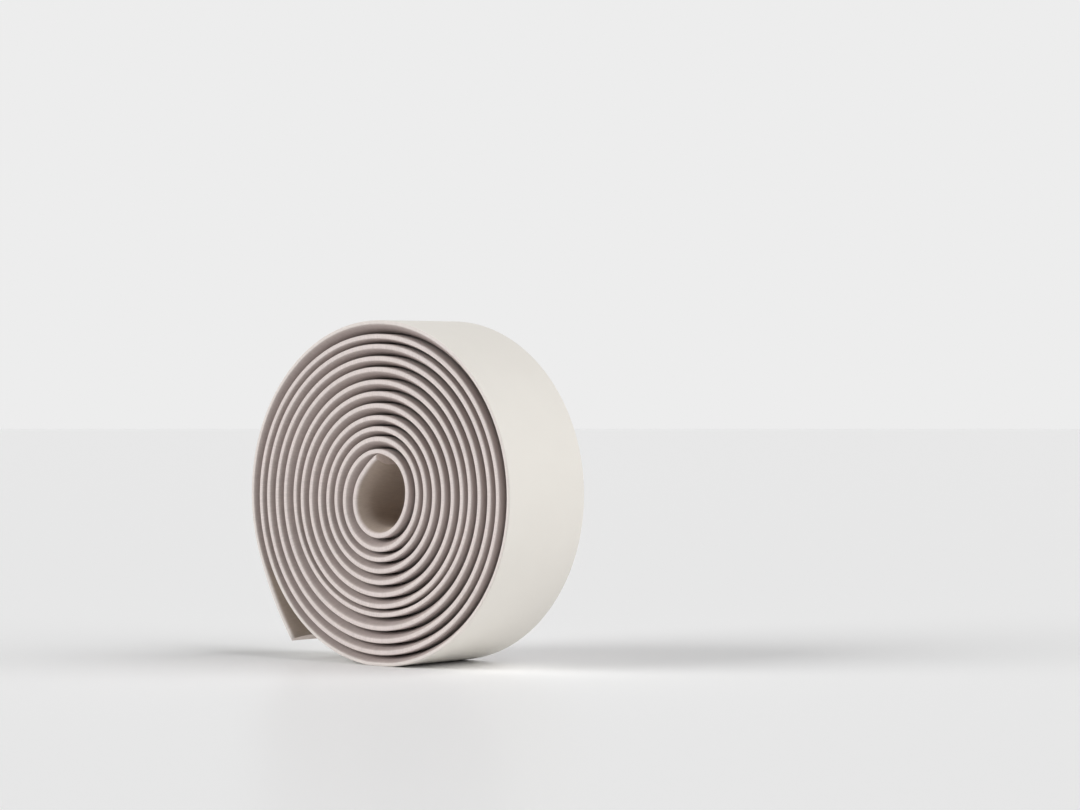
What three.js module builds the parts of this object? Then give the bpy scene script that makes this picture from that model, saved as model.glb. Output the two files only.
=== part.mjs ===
// A roll of padded handlebar tape, standing on its rim.
// Millimetres, +Z up. The roll's axis runs along Y and its visible end faces -Y.
// The origin is on the supporting surface, under the axis, halfway along the tape's width.
// Angles are in degrees from +X towards +Z, and grow along the tape from the hub to the tail.
import * as THREE from 'three';

// The tape's own section
const tapeWidth = 30;
const tapeThickness = 2.85;
const edgeThickness = 1.2;
const bevelWidth = 5;

// The winding
const turns = 12.385;
const hubRadius = 8.65;
const turnClearance = 0.15;

// How loosely each half turn is wound: its share of an even half turn, from the hub outwards
const looseness = [
  1.2, 1, 1.4, 0.8, 1, 0.8, 1.25, 0.7, 1.3, 0.8, 1.35, 0.75, 1.25,
  0.8, 0.7, 1.5, 0.85, 1.05, 1.15, 1.1, 0.95, 0.85, 1.1, 1.05, 0.45,
];

// The turns are pressed oval at the hub, less so further out
const hubOval = 0.6;
const hubOvalDirection = 75;
const hubOvalTurns = 6.8;

// The inner end springs out against the edges of the next turn, which swells again before it
const hubEndSpread = 43;
const hubEndStep = 16;

// The loose outer end, cut square
const tailEndDirection = 231.4;
const tailSpread = 31.4;
const tailLift = 3.7;

// The flat spot that the soft roll stands on
const flatWidth = 6;
const flatDepth = 0.1;
const flatBlend = 3.5;

const segmentsPerTurn = 36;

const spacing = tapeThickness + turnClearance;
const endAngle = tailEndDirection;
const startAngle = endAngle - 360 * turns;
const secondTurnAngle = startAngle + 360;
const tailAngle = endAngle - tailSpread;
const downAngle = -90;
const segmentAngle = 360 / segmentsPerTurn;
const toRadians = THREE.MathUtils.degToRad;

// Radius against half turns, as a smooth curve through the radius at each half turn
const halfTurns = Math.ceil(2 * turns) + 1;
const windingCurve = makeWindingCurve();
const hubEndLift =
  evenRadius(secondTurnAngle) - evenRadius(startAngle) - edgeThickness - turnClearance;

// The outer face of the turn at the bottom sets how high the axis stands
const axisHeight = windingRadius(downAngle) - flatDepth;
const flatAngle = THREE.MathUtils.radToDeg(Math.atan(flatWidth / 2 / axisHeight));

function makeWindingCurve() {
  const points = [];
  let radius = hubRadius;
  for (let half = 0; half <= halfTurns; half += 1) {
    points.push(new THREE.Vector2(half, radius));
    radius += (looseness[half % looseness.length] * spacing) / 2;
  }
  return new THREE.SplineCurve(points);
}

// Radius of the tape's outer face without its two ends and the flat spot
function evenRadius(angle) {
  const half = (angle - startAngle) / 180;
  const wound = windingCurve.getPoint(half / halfTurns).y;
  const fade = Math.exp(-half / 2 / hubOvalTurns);
  return wound + hubOval * fade * Math.cos(2 * toRadians(angle - hubOvalDirection));
}

// The same with the inner end sprung out
function windingRadius(angle) {
  const share = Math.max(1 - (angle - startAngle) / hubEndSpread, 0);
  return evenRadius(angle) + hubEndLift * share ** 2;
}

// Thickness in the middle of the tape: soft, it fills the room between two turns
function middleThickness(angle) {
  if (angle >= secondTurnAngle) {
    return windingRadius(angle) - windingRadius(angle - 360) - turnClearance;
  }
  const swell = THREE.MathUtils.smoothstep(secondTurnAngle - angle, 0, hubEndStep);
  return THREE.MathUtils.lerp(edgeThickness, tapeThickness, swell);
}

function tailShare(angle) {
  return Math.max((angle - tailAngle) / tailSpread, 0);
}

// How much of the flat spot a point takes: all of it on the flat, none beyond the blend
function flatShare(angle) {
  const away = Math.abs(angle - downAngle);
  return 1 - THREE.MathUtils.smoothstep(away, flatAngle, flatAngle + flatBlend);
}

function outerRadius(angle) {
  const lifted = windingRadius(angle) + tailLift * tailShare(angle) ** 2;
  const share = flatShare(angle);
  if (share === 0) return lifted;
  const flat = axisHeight / Math.cos(toRadians(angle - downAngle));
  return THREE.MathUtils.lerp(lifted, flat, share);
}

// The tail leaves the roll at a slope, and its thickness and cut end turn with it
function tailLean(angle) {
  const slope = (2 * tailLift * tailShare(angle)) / toRadians(tailSpread);
  return Math.atan(slope / outerRadius(angle));
}

// One section of the tape: flat outside, and thinned towards both edges on the inside
function tapeSection(angle) {
  const turned = toRadians(angle);
  const leant = turned - tailLean(angle);
  const radius = outerRadius(angle);
  const thickness = middleThickness(angle) - (windingRadius(angle) - outerRadiusOnRoll(angle));
  const at = (y, depth) => new THREE.Vector3(
    radius * Math.cos(turned) - depth * Math.cos(leant),
    y,
    radius * Math.sin(turned) - depth * Math.sin(leant) + axisHeight,
  );
  const edge = tapeWidth / 2;
  return [
    at(-edge, 0),
    at(edge, 0),
    at(edge, edgeThickness),
    at(edge - bevelWidth, thickness),
    at(bevelWidth - edge, thickness),
    at(-edge, edgeThickness),
  ];
}

// The outer face without the tail's lift, so that the flat spot alone thins the tape
function outerRadiusOnRoll(angle) {
  return outerRadius(angle) - tailLift * tailShare(angle) ** 2;
}

// Every turn has its sections at the same angles, so neighbouring facets stay parallel.
// The two ends and the sides of the flat spot have sections of their own.
function sectionAngles() {
  const flatSides = [downAngle - flatAngle, downAngle + flatAngle];
  const own = [startAngle, secondTurnAngle, ...flatSides, endAngle];
  const angles = [...own];
  const first = Math.ceil(startAngle / segmentAngle);
  const last = Math.floor(endAngle / segmentAngle);
  for (let index = first; index <= last; index += 1) {
    const angle = index * segmentAngle;
    if (own.every((other) => Math.abs(other - angle) > 1)) angles.push(angle);
  }
  return angles.sort((a, b) => a - b);
}

// Joins the sections into one closed skin, with both cut ends closed
function sweepSections(sections) {
  const corners = sections[0].length;
  const positions = sections.flat().flatMap((point) => point.toArray());
  const faces = [];
  for (let ring = 0; ring + 1 < sections.length; ring += 1) {
    for (let corner = 0; corner < corners; corner += 1) {
      const next = (corner + 1) % corners;
      const a = ring * corners + corner;
      const b = ring * corners + next;
      faces.push(a, b, b + corners, a, b + corners, a + corners);
    }
  }
  const lastRing = (sections.length - 1) * corners;
  for (let corner = 1; corner + 1 < corners; corner += 1) {
    faces.push(0, corner + 1, corner);
    faces.push(lastRing, lastRing + corner, lastRing + corner + 1);
  }
  const geometry = new THREE.BufferGeometry();
  geometry.setAttribute('position', new THREE.Float32BufferAttribute(positions, 3));
  geometry.setIndex(faces);
  geometry.computeVertexNormals();
  return geometry;
}

function makeTape() {
  const tapeFoam = new THREE.MeshStandardMaterial({
    color: 0xe2dfd8,
    roughness: 0.72,
    metalness: 0,
  });
  const tape = new THREE.Mesh(sweepSections(sectionAngles().map(tapeSection)), tapeFoam);
  tape.name = 'bar_tape';
  return tape;
}

const roll = new THREE.Group();
roll.add(makeTape());

export default roll;
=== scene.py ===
# A roll of padded handlebar tape, standing on its rim
import math

import bpy
from mathutils import Matrix, Vector


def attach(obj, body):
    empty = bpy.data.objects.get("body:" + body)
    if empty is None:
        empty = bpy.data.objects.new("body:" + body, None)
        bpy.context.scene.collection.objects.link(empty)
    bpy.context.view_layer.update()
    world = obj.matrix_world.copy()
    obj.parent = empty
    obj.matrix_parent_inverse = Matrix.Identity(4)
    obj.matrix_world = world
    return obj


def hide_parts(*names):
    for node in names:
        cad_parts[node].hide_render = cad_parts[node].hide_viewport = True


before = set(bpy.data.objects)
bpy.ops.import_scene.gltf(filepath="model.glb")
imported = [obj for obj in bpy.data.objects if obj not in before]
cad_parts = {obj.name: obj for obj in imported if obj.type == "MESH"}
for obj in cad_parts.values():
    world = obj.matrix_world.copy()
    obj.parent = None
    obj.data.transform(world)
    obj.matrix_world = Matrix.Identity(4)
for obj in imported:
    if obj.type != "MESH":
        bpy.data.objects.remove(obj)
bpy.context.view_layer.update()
mm = 0.001


# One output socket of a node, which can stand in a sum
class Wire:
    def __init__(self, graph, socket):
        self.graph = graph
        self.socket = socket

    def maths(self, operation, *others):
        values = dict(enumerate((self, *others)))
        return self.graph.add("ShaderNodeMath", {"operation": operation}, values)[0]

    def __add__(self, other):
        return self.maths("ADD", other)

    def __sub__(self, other):
        return self.maths("SUBTRACT", other)

    def __rsub__(self, other):
        return self * -1 + other

    def __mul__(self, other):
        return self.maths("MULTIPLY", other)

    def __truediv__(self, other):
        return self.maths("DIVIDE", other)

    __radd__ = __add__
    __rmul__ = __mul__

    # 0 at low and 1 at high, with a soft slope between and no change beyond either
    def rise(self, low, high):
        share = ((self - low) / (high - low)).maths("MAXIMUM", 0).maths("MINIMUM", 1)
        return share * share * (3 - 2 * share)

    def xyz(self):
        parts = self.graph.add("ShaderNodeSeparateXYZ", None, {0: self})
        return parts["X"], parts["Y"], parts["Z"]


# A node that was added, read by the names of its outputs
class Step:
    def __init__(self, graph, node):
        self.graph = graph
        self.node = node

    def __getitem__(self, name):
        return Wire(self.graph, self.node.outputs[name])


class Graph:
    def __init__(self, tree):
        self.tree = tree
        tree.nodes.clear()

    # One node: its settings come first, then the values or links of its sockets
    def add(self, kind, settings=None, inputs=None):
        node = self.tree.nodes.new(kind)
        for name, value in (settings or {}).items():
            setattr(node, name, value)
        for name, value in (inputs or {}).items():
            if isinstance(value, Wire):
                self.tree.links.new(value.socket, node.inputs[name])
            else:
                node.inputs[name].default_value = value
        return Step(self, node)

    def blend(self, share, a, b):
        return a + (b - a) * share

    def point(self, x, y, z):
        return self.add("ShaderNodeCombineXYZ", None, {0: x, 1: y, 2: z})[0]

    def paint(self, share, a, b):
        inputs = {"Factor": share, 6: a, 7: b}
        return self.add("ShaderNodeMix", {"data_type": "RGBA"}, inputs)[2]


def newPiece(name, points, edges=(), faces=()):
    mesh = bpy.data.meshes.new(name)
    mesh.from_pydata([tuple(point) for point in points], list(edges), list(faces))
    thing = bpy.data.objects.new(name, mesh)
    bpy.context.scene.collection.objects.link(thing)
    return thing


# An sRGB colour as written in a paint program, turned into a linear one
def colour(code):
    shares = [int(code[at : at + 2], 16) / 255 for at in (0, 2, 4)]
    return [((share + 0.055) / 1.055) ** 2.4 for share in shares] + [1]


# The strip of tape, cut across: millimetres
tapeSection = {
    "width": 30,
    "edgeThickness": 1.2,
    "bevelWidth": 5,
    "outerRounding": 0.45,
    "innerRounding": 0.25,
    "foamFade": 1.3,  # how far in from the edge the back's darker colour fades in: the edge's colour at the corner, and painted shade further in
    "outerSteps": 5,
    "innerSteps": 6,
    "facePlaces": (1, 2, 4, 7, 11),  # from the edge in, across the smooth outer face
    "bevelPlaces": (0.5, 0.8, 1.05, 1.4, 1.8, 2.3, 2.9, 3.6, 4.3, 5, 8, 11),
    "bevelFullness": 1.7,  # 1 is a straight slope, and more is rounder
}


# The section's outline. X runs across the tape, Y is the depth at the edge's thickness,
# and Z is how much of the middle's extra thickness a point takes.
def makeSectionOutline(sizes):
    half, edge = sizes["width"] / 2, sizes["edgeThickness"]
    outer, inner = sizes["outerRounding"], sizes["innerRounding"]
    bevel, fade = sizes["bevelWidth"], sizes["foamFade"]
    fullness = sizes["bevelFullness"]
    quarter = math.pi / 2
    side = [(inset, 0, 0) for inset in reversed(sizes["facePlaces"])]
    for step in range(sizes["outerSteps"] + 1):
        turn = quarter * step / sizes["outerSteps"]
        side.append((outer * (1 - math.sin(turn)), outer * (1 - math.cos(turn)), 0))

    def swell(inset):
        return 1 - max(1 - inset / bevel, 0) ** fullness

    for step in range(sizes["innerSteps"] + 1):
        turn = quarter * step / sizes["innerSteps"]
        inset = inner * (1 - math.cos(turn))
        side.append((inset, edge - inner * (1 - math.sin(turn)), swell(inset)))
    side += [(inset, edge, swell(inset)) for inset in sizes["bevelPlaces"]]
    front = [(inset - half, depth, share) for inset, depth, share in side]
    back = [(half - inset, depth, share) for inset, depth, share in reversed(side)]
    points = [(0, 0, 0), *front, (0, edge, 1), *back]
    count = len(points)
    loop = [(at, (at + 1) % count) for at in range(count)]
    places = [(x * mm, depth * mm, share) for x, depth, share in points]
    outline = newPiece("tapeRoll", places, loop)
    masks = {
        "outerSkin": [1 - min(depth / outer, 1) for _, depth, _ in points],
        "innerSide": [
            min((half - abs(x)) / fade, 1) if depth > edge - inner else 0
            for x, depth, _ in points
        ],
    }
    for name, shares in masks.items():
        mask = outline.data.attributes.new(name, "FLOAT", "POINT")
        mask.data.foreach_set("value", shares)
    return outline


# How the strip is wound: millimetres, degrees and shares
winding = {
    "thickness": 2.85,
    "clearance": 0.15,
    "lastTurnThinning": 0.25,  # the share of the edge's thickness that the last turn lacks
    "lastTurnBlend": 0.6,  # over how many radians the last turn thins
    "openingBlend": 0.2,  # over how many radians a face comes out into the open
    "turns": 12.385,
    "hubRadius": 8.65,
    # how loosely each half turn is wound, as a share of an even half turn, from the hub out
    "looseness": (
        1.2, 1, 1.4, 0.8, 1, 0.8, 1.25, 0.7, 1.3, 0.8, 1.35, 0.75, 1.25,
        0.8, 0.7, 1.5, 0.85, 1.05, 1.15, 0.95, 1.1, 0.65, 1.3, 1.05, 0.45,
    ),
    "hubOval": 0.6,
    "hubOvalDirection": 75,
    "hubOvalTurns": 6.8,
    "hubEndSpread": 43,
    "hubEndStep": 16,
    "tailDirection": 231.4,
    "tailSpread": 31.4,
    "tailLift": 3.7,
    "flatWidth": 6,
    "flatDepth": 0.1,
    "flatBlend": 3.5,
    "stations": 1488,
}


# The radius at each half turn, as a row of loose points that the node tree reads
def makeWindingGauge(sizes):
    spacing = sizes["thickness"] + sizes["clearance"]
    share = sizes["looseness"]
    radius = sizes["hubRadius"]
    radii = [radius]
    for half in range(math.ceil(2 * sizes["turns"]) + 1):
        radius += share[half % len(share)] * spacing / 2
        radii.append(radius)
    radii = [radii[0], *radii, radii[-1]]
    return newPiece("windingGauge", [(at, r * mm, 0) for at, r in enumerate(radii)])


# The tree that winds the section up: one ring of points at each station along the tape
def makeWindingTree(sizes, section, gauge, finish):
    tree = bpy.data.node_groups.new("woundTape", "GeometryNodeTree")
    degree = math.radians(1)
    sizesByName = {
        "Stations": ("Int", sizes["stations"]),
        "Turns": ("Float", sizes["turns"]),
        "Middle Thickness": ("Float", sizes["thickness"] * mm),
        "Edge Thickness": ("Float", section["edgeThickness"] * mm),
        "Last Turn Thinning": ("Float", sizes["lastTurnThinning"]),
        "Last Turn Blend": ("Float", sizes["lastTurnBlend"]),
        "Opening Blend": ("Float", sizes["openingBlend"]),
        "Clearance": ("Float", sizes["clearance"] * mm),
        "Tape Width": ("Float", section["width"] * mm),
        "Hub Radius": ("Float", sizes["hubRadius"] * mm),
        "Hub Oval": ("Float", sizes["hubOval"] * mm),
        "Hub Oval Direction": ("Float", sizes["hubOvalDirection"] * degree),
        "Hub Oval Turns": ("Float", sizes["hubOvalTurns"]),
        "Hub End Spread": ("Float", sizes["hubEndSpread"] * degree),
        "Hub End Step": ("Float", sizes["hubEndStep"] * degree),
        "Tail Direction": ("Float", sizes["tailDirection"] * degree),
        "Tail Spread": ("Float", sizes["tailSpread"] * degree),
        "Tail Lift": ("Float", sizes["tailLift"] * mm),
        "Flat Width": ("Float", sizes["flatWidth"] * mm),
        "Flat Depth": ("Float", sizes["flatDepth"] * mm),
        "Flat Blend": ("Float", sizes["flatBlend"] * degree),
        "Winding Gauge": ("Object", gauge),
        "Finish": ("Material", finish),
    }
    sockets = {}
    tree.interface.new_socket("Section", in_out="INPUT", socket_type="NodeSocketGeometry")
    for name, (kind, _) in sizesByName.items():
        sockets[name] = tree.interface.new_socket(
            name, in_out="INPUT", socket_type="NodeSocket" + kind
        )
    tree.interface.new_socket("Roll", in_out="OUTPUT", socket_type="NodeSocketGeometry")
    graph = Graph(tree)
    given = graph.add("NodeGroupInput")
    outline = given["Section"]
    gaugePoints = graph.add(
        "GeometryNodeObjectInfo", None, {"Object": given["Winding Gauge"]}
    )["Geometry"]

    def sample(source, kind, field, index):
        inputs = {"Geometry": source, "Value": field, "Index": index}
        settings = {"data_type": kind, "domain": "POINT", "clamp": True}
        return graph.add("GeometryNodeSampleIndex", settings, inputs)["Value"]

    place = graph.add("GeometryNodeInputPosition")["Position"]
    gaugeRadius = place.xyz()[1]
    start = given["Tail Direction"] - given["Turns"] * (2 * math.pi)
    secondTurn = start + 2 * math.pi
    down = -math.pi / 2

    # A smooth curve through the gauge's radii, with the hub's oval on it
    def evenRadius(angle):
        half = (angle - start) / math.pi
        whole = half.maths("FLOOR")
        part = half - whole
        a, b, c, d = [
            sample(gaugePoints, "FLOAT", gaugeRadius, whole + at) for at in range(4)
        ]
        slopeB, slopeC = (c - a) / 2, (d - b) / 2
        cubic = 2 * b - 2 * c + slopeB + slopeC
        square = 3 * c - 3 * b - 2 * slopeB - slopeC
        wound = ((cubic * part + square) * part + slopeB) * part + b
        fade = (half / -2 / given["Hub Oval Turns"]).maths("EXPONENT")
        oval = ((angle - given["Hub Oval Direction"]) * 2).maths("COSINE")
        return wound + given["Hub Oval"] * fade * oval

    hubEndLift = (
        evenRadius(secondTurn) - evenRadius(start) - given["Edge Thickness"] - given["Clearance"]
    )

    def windingRadius(angle):
        share = (1 - (angle - start) / given["Hub End Spread"]).maths("MAXIMUM", 0)
        return evenRadius(angle) + hubEndLift * share * share

    corners = graph.add(
        "GeometryNodeAttributeDomainSize", {"component": "MESH"}, {"Geometry": outline}
    )["Point Count"]
    index = graph.add("GeometryNodeInputIndex")["Index"]
    ring = (index / corners).maths("FLOOR")
    corner = index - ring * corners
    angle = start + given["Turns"] * (2 * math.pi) * ring / given["Stations"]
    across, edgeDepth, swell = sample(outline, "FLOAT_VECTOR", place, corner).xyz()

    # The soft middle fills the room between two turns, and thins where a new turn starts on it
    wound = windingRadius(angle)
    room = wound - windingRadius(angle - 2 * math.pi) - given["Clearance"]
    swelling = (secondTurn - angle).rise(0, given["Hub End Step"])
    firstTurn = graph.blend(swelling, given["Edge Thickness"], given["Middle Thickness"])
    middle = graph.blend(angle.maths("LESS_THAN", secondTurn), room, firstTurn)

    # The flat spot that the roll stands on, and the tail's lift
    axisHeight = windingRadius(start * 0 + down) - given["Flat Depth"]
    flatAngle = (given["Flat Width"] / 2 / axisHeight).maths("ARCTANGENT")
    away = (angle - down).maths("ABSOLUTE")
    flatShare = 1 - away.rise(flatAngle, flatAngle + given["Flat Blend"])
    tailStart = given["Tail Direction"] - given["Tail Spread"]
    tailShare = ((angle - tailStart) / given["Tail Spread"]).maths("MAXIMUM", 0)
    lift = given["Tail Lift"] * tailShare * tailShare
    flat = axisHeight / (angle - down).maths("COSINE")
    radius = graph.blend(flatShare, wound + lift, flat)
    slope = 2 * given["Tail Lift"] * tailShare / given["Tail Spread"]
    leant = angle - (slope / radius).maths("ARCTANGENT")

    # The last turn's edge is thinner than the others
    thickness = middle - (wound + lift - radius)
    lastStart = tailStart - 2 * math.pi
    lastTurn = angle.rise(lastStart, lastStart + given["Last Turn Blend"])
    thin = 1 - given["Last Turn Thinning"] * lastTurn
    depth = edgeDepth * thin + swell * (thickness - given["Edge Thickness"] * thin)
    outward = graph.point(
        radius * angle.maths("COSINE") - depth * leant.maths("COSINE"),
        across,
        radius * angle.maths("SINE") - depth * leant.maths("SINE") + axisHeight,
    )

    # How far in from the tape's edge a point lies between two turns, in millimetres. It is 0
    # where the face is open to the air: in the hub, on the outermost face and under the tail.
    inset = given["Tape Width"] / 2 - across.maths("ABSOLUTE")
    back = edgeDepth / given["Edge Thickness"]
    blend = given["Opening Blend"]
    openFace = angle.rise(lastStart, lastStart + blend)
    openHub = angle.rise(secondTurn, secondTurn - blend)
    openTail = angle.rise(tailStart, tailStart + blend)
    # The finish paints shade and light between the turns by this depth.
    gapDepth = inset / mm * (1 - graph.blend(back, openFace, openHub + openTail))

    # Where each point lies on the unrolled tape, for the finish
    wrapped = angle - start
    growth = (given["Middle Thickness"] + given["Clearance"]) / (4 * math.pi)
    run = wrapped * (given["Hub Radius"] + growth * wrapped)
    rings = graph.add(
        "GeometryNodeMeshCylinder",
        {"fill_type": "NGON"},
        {"Vertices": corners, "Side Segments": given["Stations"]},
    )

    def store(shape, kind, name, value, domain="POINT"):
        inputs = {"Geometry": shape, "Name": name, "Value": value}
        settings = {"data_type": kind, "domain": domain}
        return graph.add("GeometryNodeStoreNamedAttribute", settings, inputs)["Geometry"]

    shape = store(rings["Mesh"], "FLOAT_VECTOR", "tapePlace", graph.point(run, across, depth))
    shape = store(shape, "FLOAT", "gapDepth", gapDepth)
    shape = store(shape, "FLOAT", "lastTurn", openFace)
    for mask in ("outerSkin", "innerSide"):
        named = graph.add(
            "GeometryNodeInputNamedAttribute", {"data_type": "FLOAT"}, {"Name": mask}
        )["Attribute"]
        shape = store(shape, "FLOAT", mask, sample(outline, "FLOAT", named, corner))
    cutEnds = rings["Top"].maths("ADD", rings["Bottom"])
    shape = store(shape, "FLOAT", "cutEnd", cutEnds, "FACE")
    shape = graph.add(
        "GeometryNodeSetPosition", None, {"Geometry": shape, "Position": outward}
    )["Geometry"]
    for selection, smooth in (("Side", True), ("Top", False), ("Bottom", False)):
        inputs = {"Geometry": shape, "Selection": rings[selection], "Shade Smooth": smooth}
        shape = graph.add("GeometryNodeSetShadeSmooth", None, inputs)["Geometry"]
    shape = graph.add("GeometryNodeRealizeInstances", None, {"Geometry": shape})["Geometry"]
    inputs = {"Geometry": shape, "Material": given["Finish"]}
    shape = graph.add("GeometryNodeSetMaterial", None, inputs)["Geometry"]
    graph.add("NodeGroupOutput", None, {"Roll": shape})
    values = {sockets[name].identifier: value for name, (_, value) in sizesByName.items()}
    return tree, values


# The finish of the tape, with sizes and depths in millimetres
tapeFinish = {
    "skin": "E2DED7",
    "skinStart": (0.35, 0.95),  # over which part of the edge's rounding the skin begins
    "edge": "DBD0CC",
    "rimSkin": 0.4,  # how far the cream skin covers the last turn's edge
    "inner": "B0A195",
    # painted light: between two turns the foam back is lighter and rosier, for light passed on
    # between the turns
    "gapFoam": "B5A8A4",
    "foamStart": (0.05, 0.7),  # over which part of the fade the back's darker colour and its painted shade begin
    "gapFoamDepths": (0, 0.8),
    "core": "EADDD6",
    # painted shade: the cream skin between two turns takes this darker tone from the edge in
    "gapTone": "C3B8B4",
    "gapToneDepths": (0, 0.2),
    # painted shade: deep between two turns the colour darkens, over these depths in millimetres
    "gapShade": 0.36,
    "gapShadeDepths": (1, 4),
    "shadeSize": 18,
    "shadeStrength": 0.06,
    "ribSize": 0.36,
    "ribLength": 2.2,
    "ribStrength": 0.3,
    "skinRoughness": 0.55,
    "foamRoughness": 0.9,
    "roughnessSize": 1.1,
    "roughnessChange": 0.1,
    "refraction": 1.45,
    "grainSize": 0.55,
    "grainDepth": 0.012,
    "poreSize": 0.22,
    "poreDepth": 0.03,
}


# A smooth cream skin that wraps the edges, and a taupe foam back with fine ribs across it.
# Between the turns, shade is painted darker with depth, and a lighter, rosier foam tone is
# painted light
def makeTapeFinish(look):
    material = bpy.data.materials.new("creamFoam")
    material.use_nodes = True
    graph = Graph(material.node_tree)

    def read(name):
        return graph.add("ShaderNodeAttribute", {"attribute_name": name})

    place = read("tapePlace")["Vector"]
    skin = read("outerSkin")["Fac"].rise(*look["skinStart"])
    # The back fades from the edge's colour to the darker foam colour, with painted shade further
    # in from the edge
    inner = read("innerSide")["Fac"].rise(*look["foamStart"])
    cut = read("cutEnd")["Fac"]
    rim = read("lastTurn")["Fac"] * (1 - inner) * look["rimSkin"]
    skin = skin.maths("MAXIMUM", rim) * (1 - cut)
    inner = inner * (1 - cut)

    def noise(vector, size, detail):
        inputs = {"Vector": vector, "Scale": 1 / (size * mm), "Detail": detail}
        return graph.add("ShaderNodeTexNoise", None, inputs)["Fac"] - 0.5

    along, across, depth = place.xyz()
    stretch = look["ribSize"] / look["ribLength"]
    ribs = noise(graph.point(along, across * stretch, depth * stretch), look["ribSize"], 3)
    shade = 1 + noise(place, look["shadeSize"], 3) * look["shadeStrength"]
    shade = shade + ribs * (1 - skin) * look["ribStrength"]
    gap = read("gapDepth")["Fac"]
    # Painted shade: deeper than a millimetre between two turns, the colour darkens to 0.64 of
    # itself
    shade = shade * (1 - gap.rise(*look["gapShadeDepths"]) * look["gapShade"])
    mouthShade, litFoamInGap = gap.rise(*look["gapToneDepths"]), gap.rise(*look["gapFoamDepths"])
    base = graph.paint(skin, colour(look["edge"]), colour(look["skin"]))
    # Painted shade: the skin in the mouth of each gap takes the darker shade tone
    base = graph.paint(mouthShade, base, colour(look["gapTone"]))
    # Painted light: the foam back between the turns turns lighter and rosier
    foam = graph.paint(litFoamInGap, colour(look["inner"]), colour(look["gapFoam"]))
    base = graph.paint(inner, base, foam)
    base = graph.paint(cut, base, colour(look["core"]))
    base = graph.add(
        "ShaderNodeVectorMath", {"operation": "SCALE"}, {0: base, "Scale": shade}
    )[0]
    rough = graph.blend(skin, look["foamRoughness"], look["skinRoughness"])
    rough = rough + noise(place, look["roughnessSize"], 2) * look["roughnessChange"]
    grain = noise(place, look["grainSize"], 4) * look["grainDepth"] * skin
    pores = noise(place, look["poreSize"], 3) * look["poreDepth"] * (1 - skin)
    bump = graph.add("ShaderNodeBump", None, {"Distance": mm, "Height": grain + pores})
    inputs = {
        "Base Color": base,
        "Roughness": rough,
        "Normal": bump["Normal"],
        "IOR": look["refraction"],
    }
    surface = graph.add("ShaderNodeBsdfPrincipled", None, inputs)
    graph.add("ShaderNodeOutputMaterial", None, {"Surface": surface["BSDF"]})
    return material


def windTape():
    piece = makeSectionOutline(tapeSection)
    gauge = makeWindingGauge(winding)
    finish = makeTapeFinish(tapeFinish)
    tree, values = makeWindingTree(winding, tapeSection, gauge, finish)
    modifier = piece.modifiers.new("winding", "NODES")
    modifier.node_group = tree
    for identifier, value in values.items():
        modifier[identifier] = value
    drawn = piece.evaluated_get(bpy.context.evaluated_depsgraph_get())
    plain = bpy.data.meshes.new_from_object(drawn)
    piece.modifiers.clear()
    piece.data = plain
    bpy.data.objects.remove(gauge)
    print("tape wound:", len(plain.vertices), "points")
    return piece


tape = windTape()
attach(tape, "root")
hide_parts("bar_tape")


# The camera where the photographer stood, and the pale table: metres
stage = {
    "cameraPlace": (0.6122, -0.6831, 0.077),
    "cameraTurn": 39.834,
    "cameraDip": 0.58,
    "focalLength": 116.24,
    "tableFront": 2,
    "tableBack": 3.6,
    "tableHalfWidth": 4,
    "tableTone": "FBFBFB",
    "tableGloss": 0.18,
    "tableRoughness": 0.3,
    "wallTone": "EDEDED",
    "roomLight": 0.06,
}


def placeCamera(sizes):
    lens = bpy.data.cameras.new("camera")
    lens.sensor_fit = "HORIZONTAL"
    lens.sensor_width = 36
    lens.lens = sizes["focalLength"]
    lens.clip_start = 0.01
    camera = bpy.data.objects.new("camera", lens)
    camera.location = sizes["cameraPlace"]
    camera.rotation_euler = (
        math.radians(90 - sizes["cameraDip"]),
        0,
        math.radians(sizes["cameraTurn"]),
    )
    bpy.context.scene.collection.objects.link(camera)
    bpy.context.scene.camera = camera


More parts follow.
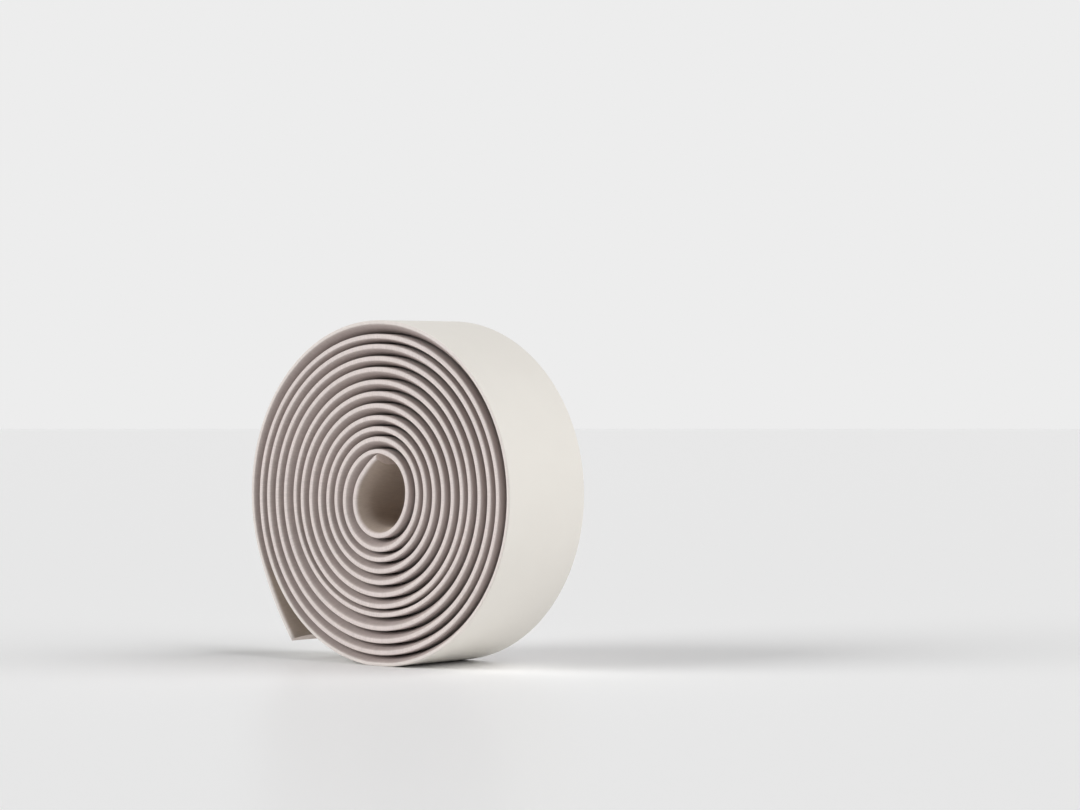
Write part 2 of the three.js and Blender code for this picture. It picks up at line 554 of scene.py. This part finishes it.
# A level table, with its far edge square to the camera
def makeTable(sizes):
    side, front, back = sizes["tableHalfWidth"], sizes["tableFront"], sizes["tableBack"]
    turned = Matrix.Rotation(math.radians(sizes["cameraTurn"]), 3, "Z")
    corners = ((-side, -front), (side, -front), (side, back), (-side, back))
    points = [turned @ Vector((x, y, 0)) for x, y in corners]
    table = newPiece("paleTable", points, (), [(0, 1, 2, 3)])
    material = bpy.data.materials.new("paleGloss")
    material.use_nodes = True
    graph = Graph(material.node_tree)
    tone = colour(sizes["tableTone"])
    matt = graph.add("ShaderNodeBsdfDiffuse", None, {"Color": tone})
    gloss = graph.add("ShaderNodeBsdfGlossy", None, {"Roughness": sizes["tableRoughness"]})
    inputs = {0: sizes["tableGloss"], 1: matt["BSDF"], 2: gloss["BSDF"]}
    both = graph.add("ShaderNodeMixShader", None, inputs)
    graph.add("ShaderNodeOutputMaterial", None, {"Surface": both["Shader"]})
    table.data.materials.append(material)


# Large soft lamps far away: where each shines from, its height and width in degrees, and
# how strong it is
lamps = {
    "leftBank": {"from": (-0.5, -0.87), "height": 26, "spread": 40, "strength": 0.66},
    "rightBank": {"from": (0.96, 0.28), "height": 42, "spread": 65, "strength": 0.77},
}


def hangLamps(banks):
    for name, bank in banks.items():
        light = bpy.data.lights.new(name, "SUN")
        light.energy = bank["strength"] * math.pi
        light.angle = math.radians(bank["spread"])
        lamp = bpy.data.objects.new(name, light)
        flat = Vector((*bank["from"], 0)).normalized()
        rise = math.radians(bank["height"])
        outward = flat * math.cos(rise) + Vector((0, 0, math.sin(rise)))
        lamp.rotation_euler = outward.to_track_quat("Z", "Y").to_euler()
        lamp.location = outward
        bpy.context.scene.collection.objects.link(lamp)


# A dim even room that shows as a pale wall
def paintRoom(sizes):
    world = bpy.data.worlds.new("paleRoom")
    world.use_nodes = True
    bpy.context.scene.world = world
    graph = Graph(world.node_tree)
    path = graph.add("ShaderNodeLightPath")
    seen = path["Is Camera Ray"].maths("MAXIMUM", path["Is Glossy Ray"])
    seen = seen.maths("MAXIMUM", path["Is Transmission Ray"])
    tone = colour(sizes["wallTone"])
    room = graph.add("ShaderNodeBackground", None, {"Strength": sizes["roomLight"]})
    wall = graph.add("ShaderNodeBackground", None, {"Color": tone, "Strength": 1})
    inputs = {0: seen, 1: room["Background"], 2: wall["Background"]}
    both = graph.add("ShaderNodeMixShader", None, inputs)
    graph.add("ShaderNodeOutputWorld", None, {"Surface": both["Shader"]})


placeCamera(stage)
makeTable(stage)
hangLamps(lamps)
paintRoom(stage)
bpy.context.scene.view_settings.view_transform = "Standard"
print("stage set")
